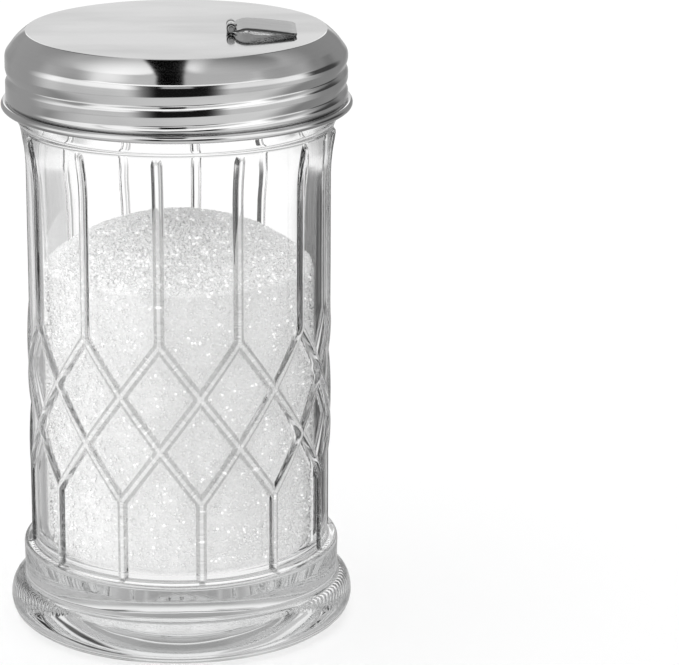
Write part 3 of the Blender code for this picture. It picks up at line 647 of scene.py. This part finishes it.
seal_outline = []
for radius, height, start in (
    (SEAL_OUTSIDE, SEAL_BOTTOM, -90.0), (SEAL_OUTSIDE, SEAL_TOP, 0.0),
    (SEAL_INSIDE, SEAL_TOP, 90.0), (SEAL_INSIDE, SEAL_BOTTOM, 180.0),
):
    seal_outline += bow((radius, height), (SEAL_EDGE, SEAL_EDGE), start, start + 90.0, 3)
seal_form = turn_on_lathe(seal_outline, sectors=12, steps=15)
silicone, soft, body_soft = new_finish("clear_silicone_rubber", Roughness=0.4)
bloom = pattern(soft, "ShaderNodeTexNoise", Scale=220.0, Detail=3.0)
soft.links.new(ramp(soft, bloom.outputs["Fac"], 0.3, 0.7, 0.8, 0.87), body_soft.inputs["Base Color"])
seal_piece = stand_piece("seal_ring", seal_form, silicone, "seal")
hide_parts("lid_seal")

# The lid is drawn from one sheet of stainless steel and polished: a flat disc, a sloping shoulder, a skirt
# with a rolled screw thread, and an edge curled outwards. It is pierced by the pour hole and a window.
LID_TOP = 131.1
SHEET = 0.4
LID_SECTORS = 24
LID_STEPS = 16
LID_SHARP = 40.0
SKIRT = 36.45
HINGE = Vector((11.5024, -4.108, 132.35))
POUR_HOLE = Vector((18.8996, -4.108, LID_TOP))
POUR_HOLE_RADIUS = 3.85
PUNCH_LENGTH = 2.0
WINDOW_LENGTH = 3.4
WINDOW_START = 0.55
WINDOW_MIDDLE_HEIGHT = 130.8
WINDOW_PUNCH_HEIGHT = 1.2
KNUCKLE_LENGTH = 2.4
VALLEY_INSIDE = 34.0
VALLEY_DEPTH = 0.62
VALLEY_OVER = 1.9
VALLEY_UNDER = 1.05
VALLEY_BELOW_RIM = 9.93
VALLEY_START = -0.42
VALLEY_END = 1.36
VALLEY_FADE = 0.16
VALLEY_BLUNTNESS = 0.003


def lid_valley(angle, height):
    """How deep the rolled thread is pressed in here: a long slope above its line, a steep one below."""
    depth = 0.0
    for whole in (-1, 0, 1, 2):
        turn = angle / FULL_TURN + whole
        away = height - (RIM - VALLEY_BELOW_RIM + THREAD_LEAD * turn)
        away = away / VALLEY_OVER if away > 0.0 else -away / VALLEY_UNDER
        away = math.sqrt(away * away + VALLEY_BLUNTNESS)
        ends = min((turn - VALLEY_START) / VALLEY_FADE, (VALLEY_END - turn) / VALLEY_FADE, 1.0)
        if away < 1.0 and ends > 0.0:
            depth = max(depth, VALLEY_DEPTH * math.sin(math.pi / 2 * ends) ** 2 * (1.0 - away) ** 1.35)
    return depth


disc = [(radius, LID_TOP) for radius in (0.0, 6.0, 12.0, 18.0, 24.0, 29.0, 31.2)]
shoulder = bow((31.75, 130.5), (0.6, 0.6), 90.0, 59.0, 4)
shoulder += bow((24.518, 119.853), (13.47, 13.47), 56.0, 39.6, 8)
shoulder += [(35.0, 128.30), (35.35, 127.82), (35.7, 127.35), (36.05, 126.87)]
shoulder += bow((34.806, 125.860), (1.6, 1.6), 34.0, 20.0, 5)
shoulder += bow((34.11, 125.607), (2.34, 2.34), 17.0, 0.0, 6)
skirt = [(SKIRT, 125.45 - 0.14 * step) for step in range(61)]
neck = [(36.38, 116.75), (36.24, 116.48), (36.06, 116.2), (35.96, 115.96)]
curl = bow((36.7, 115.4), (0.8, 0.8), 143.0, -180.0, 16)
outer_sheet = disc + shoulder + skirt + neck
inner_sheet = []
for index in range(len(outer_sheet) - 1, -1, -3):
    before, after = outer_sheet[max(index - 1, 0)], outer_sheet[min(index + 1, len(outer_sheet) - 1)]
    run = Vector((after[0] - before[0], after[1] - before[1])).normalized()
    radius, height = outer_sheet[index]
    inner_sheet.append((radius + run.y * SHEET, height - run.x * SHEET))
lid_form = turn_on_lathe(outer_sheet + curl + inner_sheet, LID_SECTORS, LID_STEPS)
for point in lid_form.verts:
    radius = math.hypot(point.co.x, point.co.y)
    if radius > VALLEY_INSIDE * MM:
        shrink = 1.0 - lid_valley(math.atan2(point.co.y, point.co.x), point.co.z / MM) * MM / radius
        point.co.x *= shrink
        point.co.y *= shrink

# Steel keeps the marks of its making: fine tool lines that run one way, and a soft uneven haze.
tool_marks = bpy.data.node_groups.new("tool_marks", "ShaderNodeTree")
tool_marks.interface.new_socket("Lines", in_out="INPUT", socket_type="NodeSocketVector")
for socket in ("Line Scale", "Brightness", "Dullness", "Marks"):
    tool_marks.interface.new_socket(socket, in_out="INPUT", socket_type="NodeSocketFloat")
for socket in ("Shade", "Roughness", "Height"):
    tool_marks.interface.new_socket(socket, in_out="OUTPUT", socket_type="NodeSocketFloat")
given = tool_marks.nodes.new("NodeGroupInput").outputs
result = tool_marks.nodes.new("NodeGroupOutput").inputs
scratch = add_node(tool_marks, "ShaderNodeTexNoise", {"Detail": 2.0, "Roughness": 0.7})
tool_marks.links.new(given["Lines"], scratch.inputs["Vector"])
tool_marks.links.new(given["Line Scale"], scratch.inputs["Scale"])
haze = pattern(tool_marks, "ShaderNodeTexNoise", Scale=55.0, Detail=3.0, Roughness=0.55)
lined = ramp(tool_marks, scratch.outputs["Fac"], 0.3, 0.7, -0.02, 0.02)
clouded = ramp(tool_marks, haze.outputs["Fac"], 0.3, 0.7, -0.015, 0.015)
marks = arithmetic(tool_marks, "MULTIPLY", arithmetic(tool_marks, "ADD", lined, clouded), given["Marks"])
tool_marks.links.new(arithmetic(tool_marks, "ADD", given["Brightness"], marks), result["Shade"])
rubbed = ramp(tool_marks, haze.outputs["Fac"], 0.3, 0.7, 0.8, 1.2)
scored = ramp(tool_marks, scratch.outputs["Fac"], 0.4, 0.7, 0.0, 0.3)
worn = arithmetic(tool_marks, "ADD", rubbed, scored)
tool_marks.links.new(arithmetic(tool_marks, "MULTIPLY", given["Dullness"], worn), result["Roughness"])
tool_marks.links.new(scratch.outputs["Fac"], result["Height"])


def make_steel(name, **levels):
    """A stainless steel with its tool marks, still without the run of their lines."""
    finish, tree, metal = new_finish(name, Metallic=1.0)
    marked = tree.nodes.new("ShaderNodeGroup")
    marked.node_tree = tool_marks
    for socket, value in levels.items():
        marked.inputs[socket.replace("_", " ")].default_value = value
    tree.links.new(marked.outputs["Shade"], metal.inputs["Base Color"])
    tree.links.new(marked.outputs["Roughness"], metal.inputs["Roughness"])
    emboss(tree, metal, marked.outputs["Height"], strength=0.1 * levels["Marks"], distance=0.00002)
    return finish, tree, marked


bright_steel, polish, marked = make_steel(
    "polished_lid_steel", Dullness=0.075, Line_Scale=2600.0, Marks=0.3,
)
upright = add_node(polish, "ShaderNodeSeparateXYZ")
polish.links.new(object_place(polish, (1.0, 1.0, 1.0)), upright.inputs[0])
rings = add_node(polish, "ShaderNodeCombineXYZ")
polish.links.new(reach_from_axis(polish), rings.inputs[0])
polish.links.new(upright.outputs[2], rings.inputs[1])
polish.links.new(rings.outputs[0], marked.inputs["Lines"])
# Painted reflection: soft light and dark patches in the lid's colour, standing in for the bands of light that
# the polished steel reflects.
painted_sheen = add_node(polish, "ShaderNodeTexNoise", {"Scale": 42.0, "Detail": 3.0, "Roughness": 0.45})
polish.links.new(object_place(polish, (0.45, 1.1, 1.0)), painted_sheen.inputs["Vector"])
polish.links.new(ramp(polish, painted_sheen.outputs["Fac"], 0.38, 0.62, 0.50, 0.68), marked.inputs["Brightness"])


def pierce(piece, cutter_form):
    """Cuts a closed form out of a piece and keeps the cut as the piece's own mesh."""
    cutter_mesh = bpy.data.meshes.new("punch")
    cutter_form.to_mesh(cutter_mesh)
    cutter_form.free()
    punch = bpy.data.objects.new("punch", cutter_mesh)
    scene.collection.objects.link(punch)
    cut = piece.modifiers.new("pierced", "BOOLEAN")
    cut.operation = "DIFFERENCE"
    cut.solver = "EXACT"
    cut.object = punch
    bpy.context.view_layer.update()
    cut_mesh = bpy.data.meshes.new_from_object(piece.evaluated_get(bpy.context.evaluated_depsgraph_get()))
    piece.modifiers.clear()
    piece.data = cut_mesh
    bpy.data.objects.remove(punch)


def cutting_block(centre, sizes):
    """A block that cuts a straight opening, from its centre and its sizes in millimetres."""
    block = bmesh.new()
    bmesh.ops.create_cube(block, size=1.0)
    bmesh.ops.scale(block, verts=block.verts, vec=Vector(sizes) * MM)
    bmesh.ops.translate(block, verts=block.verts, vec=Vector(centre) * MM)
    return block


lid_piece = stand_piece("steel_lid", lid_form, bright_steel, "lid", sharp=LID_SHARP)
hole_form = bmesh.new()
bmesh.ops.create_cone(
    hole_form, cap_ends=True, segments=96, radius1=POUR_HOLE_RADIUS * MM, radius2=POUR_HOLE_RADIUS * MM,
    depth=PUNCH_LENGTH * MM,
)
bmesh.ops.translate(hole_form, verts=hole_form.verts, vec=POUR_HOLE * MM)
pierce(lid_piece, hole_form)
window_middle = (HINGE.x - WINDOW_START + WINDOW_LENGTH / 2, HINGE.y, WINDOW_MIDDLE_HEIGHT)
pierce(lid_piece, cutting_block(window_middle, (WINDOW_LENGTH, KNUCKLE_LENGTH, WINDOW_PUNCH_HEIGHT)))
smooth_faces(lid_piece.data, LID_SHARP)
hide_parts("lid_shell")

# The middle knuckle of the hinge is a tongue of the lid itself: the sheet is cut on three sides, bent up
# and rolled over the pin towards the flap.
KNUCKLE_MIDDLE = 0.75
KNUCKLE_WRAP = 209.0
TONGUE_ROOT = 0.35
TONGUE_RISE = 0.3
STRIP_SHARP = 35.0
SAME_PLACE = 1e-7


def bend_strip(path, half_widths, middle, rows):
    """Draws a strip of sheet along a path of (x, z), in millimetres, as wide as told at each point."""
    form = bmesh.new()
    for (x, z), half in zip(path, half_widths):
        form.verts.new((x * MM, (middle - half) * MM, z * MM))
    points = form.verts[:]
    sides = [form.edges.new(pair) for pair in zip(points, points[1:])]
    for row in range(rows):
        grown = bmesh.ops.extrude_edge_only(form, edges=sides)["geom"]
        fresh = {item for item in grown if isinstance(item, bmesh.types.BMVert)}
        edges = [item for item in grown if isinstance(item, bmesh.types.BMEdge)]
        sides = [edge for edge in edges if edge.is_boundary and fresh.issuperset(edge.verts)]
        for (x, z), half in zip(path, half_widths):
            for vert in fresh:
                if abs(vert.co.x - x * MM) < SAME_PLACE and abs(vert.co.z - z * MM) < SAME_PLACE:
                    vert.co.y = (middle - half + 2.0 * half * (row + 1) / rows) * MM
    bmesh.ops.recalc_face_normals(form, faces=form.faces)
    return form


def thicken(piece, gauge, rounding):
    """Gives a strip its sheet's thickness, half to each side, and eases its edges."""
    sheet = piece.modifiers.new("sheet", "SOLIDIFY")
    sheet.thickness = gauge * MM
    sheet.offset = 0.0
    sheet.use_even_offset = True
    eased = piece.modifiers.new("eased", "BEVEL")
    eased.width = rounding * MM
    eased.segments = 2
    eased.limit_method = "ANGLE"
    eased.angle_limit = math.radians(50.0)
    bpy.context.view_layer.update()
    solid = bpy.data.meshes.new_from_object(piece.evaluated_get(bpy.context.evaluated_depsgraph_get()))
    piece.modifiers.clear()
    piece.data = solid
    smooth_faces(solid, STRIP_SHARP)


knuckle_path = [(HINGE.x - KNUCKLE_MIDDLE, LID_TOP + rise) for rise in (-TONGUE_ROOT, TONGUE_RISE)]
knuckle_path += bow((HINGE.x, HINGE.z), (KNUCKLE_MIDDLE, KNUCKLE_MIDDLE), 180.0, 180.0 - KNUCKLE_WRAP, 20)
knuckle_halves = [KNUCKLE_LENGTH / 2] * len(knuckle_path)
knuckle_form = bend_strip(knuckle_path, knuckle_halves, middle=HINGE.y, rows=6)
knuckle_piece = stand_piece("lid_tongue", knuckle_form, bright_steel, "lid")
thicken(knuckle_piece, gauge=SHEET, rounding=0.05)

# The hinge pin is a short length of drawn steel wire. It lies through the tongue's knuckle, and both its
# ends are peened over outside the flap's ears, so that it stays in.
PIN_RADIUS = 0.45
PIN_HEAD_RADIUS = 0.75

pin_half = [(PIN_RADIUS, 2.98), (PIN_HEAD_RADIUS, 3.02)]
pin_half += bow((0.60, 3.18), (0.15, 0.15), 0.0, 90.0, 4) + [(0.35, 3.33), (0.0, 3.34)]
pin_outline = [(radius, -along) for radius, along in reversed(pin_half)] + pin_half
pin_form = turn_on_lathe(pin_outline, sectors=4, steps=10)
laid_down = Matrix.Rotation(math.pi / 2, 3, "X")
bmesh.ops.rotate(pin_form, verts=pin_form.verts, cent=(0.0, 0.0, 0.0), matrix=laid_down)
bmesh.ops.translate(pin_form, verts=pin_form.verts, vec=HINGE * MM)
wire_steel, drawn, marked = make_steel(
    "drawn_wire_steel", Brightness=0.5, Dullness=0.16, Line_Scale=1800.0, Marks=1.0,
)
drawn.links.new(object_place(drawn, (1.0, 0.03, 1.0)), marked.inputs["Lines"])
pin_piece = stand_piece("peened_hinge_pin", pin_form, wire_steel, "lid")
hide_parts("hinge_pin")

# The flap is pressed from the same steel sheet: an arched plate, wider at its tip, that lies over the pour
# hole. At its hinge edge it is notched in the middle, and its two ears are rolled round the pin.
FLAP_LENGTH = 13.6986
FLAP_HALF_WIDTH = 5.6
FLAP_WIDENING = 0.8
FLAP_GAUGE = 0.5
EAR_START = -325.0
EAR_END = -30.0
HUMP_REACH = 3.3014
HUMP_HEIGHT = 132.7
TIP_FALL = 1.1
TIP_BEND = 0.16
TIP_BEND_LENGTH = 1.2
TIP_CORNER = 0.9
BARREL_INSET = 2.9
BARREL_REACH = 0.8
BARREL_FADE = 0.7
NOTCH_SIZES = (2.5, 3.0, 2.5)


def quarter_round(share):
    """How far a rounded corner has come in when this share of it has passed."""
    share = min(max(share, 0.0), 1.0)
    return 1.0 - math.sqrt(1.0 - share * share)


ear = bow((HINGE.x, HINGE.z), (KNUCKLE_MIDDLE, KNUCKLE_MIDDLE), EAR_START, EAR_END, 26)
ear_x, ear_z = ear[-1]
rise_points = []
for step in range(1, 11):
    share = step / 10
    lift = math.sin(math.pi / 2 * share)
    rise_points.append((ear_x + (HINGE.x + HUMP_REACH - ear_x) * share, ear_z + (HUMP_HEIGHT - ear_z) * lift))
slope_points = []
for step in range(1, 19):
    share = step / 18
    fall = (1.0 - math.cos(math.pi / 2 * share) + share) / 2
    reach = HUMP_REACH + (FLAP_LENGTH - HUMP_REACH) * share
    bent = max(1.0 - (FLAP_LENGTH - reach) / TIP_BEND_LENGTH, 0.0)
    slope_points.append((HINGE.x + reach, HUMP_HEIGHT - TIP_FALL * fall - TIP_BEND * bent * bent))
flap_path = ear + rise_points + slope_points
flap_halves = []
for x, z in flap_path:
    share = max(x - HINGE.x, 0.0) / FLAP_LENGTH
    half = FLAP_HALF_WIDTH + FLAP_WIDENING * share
    half -= TIP_CORNER * quarter_round(1.0 - (HINGE.x + FLAP_LENGTH - x) / TIP_CORNER)
    half -= BARREL_INSET * quarter_round(1.0 - (x - HINGE.x - BARREL_REACH) / BARREL_FADE)
    flap_halves.append(half)
flap_form = bend_strip(flap_path, flap_halves, middle=HINGE.y, rows=12)
# Painted shade: the flap's steel is given a much darker colour than the lid's, though it is the same sheet.
darkened_flap_steel, brushed, marked = make_steel(
    "brushed_flap_steel_painted_dark", Brightness=0.26, Dullness=0.13, Line_Scale=900.0, Marks=1.5,
)
brushed.links.new(object_place(brushed, (0.03, 1.0, 1.0)), marked.inputs["Lines"])
flap_piece = stand_piece("pour_hole_flap", flap_form, darkened_flap_steel, "flap")
thicken(flap_piece, gauge=FLAP_GAUGE, rounding=0.03)
pierce(flap_piece, cutting_block(HINGE, NOTCH_SIZES))
smooth_faces(flap_piece.data, STRIP_SHARP)
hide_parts("pour_flap")
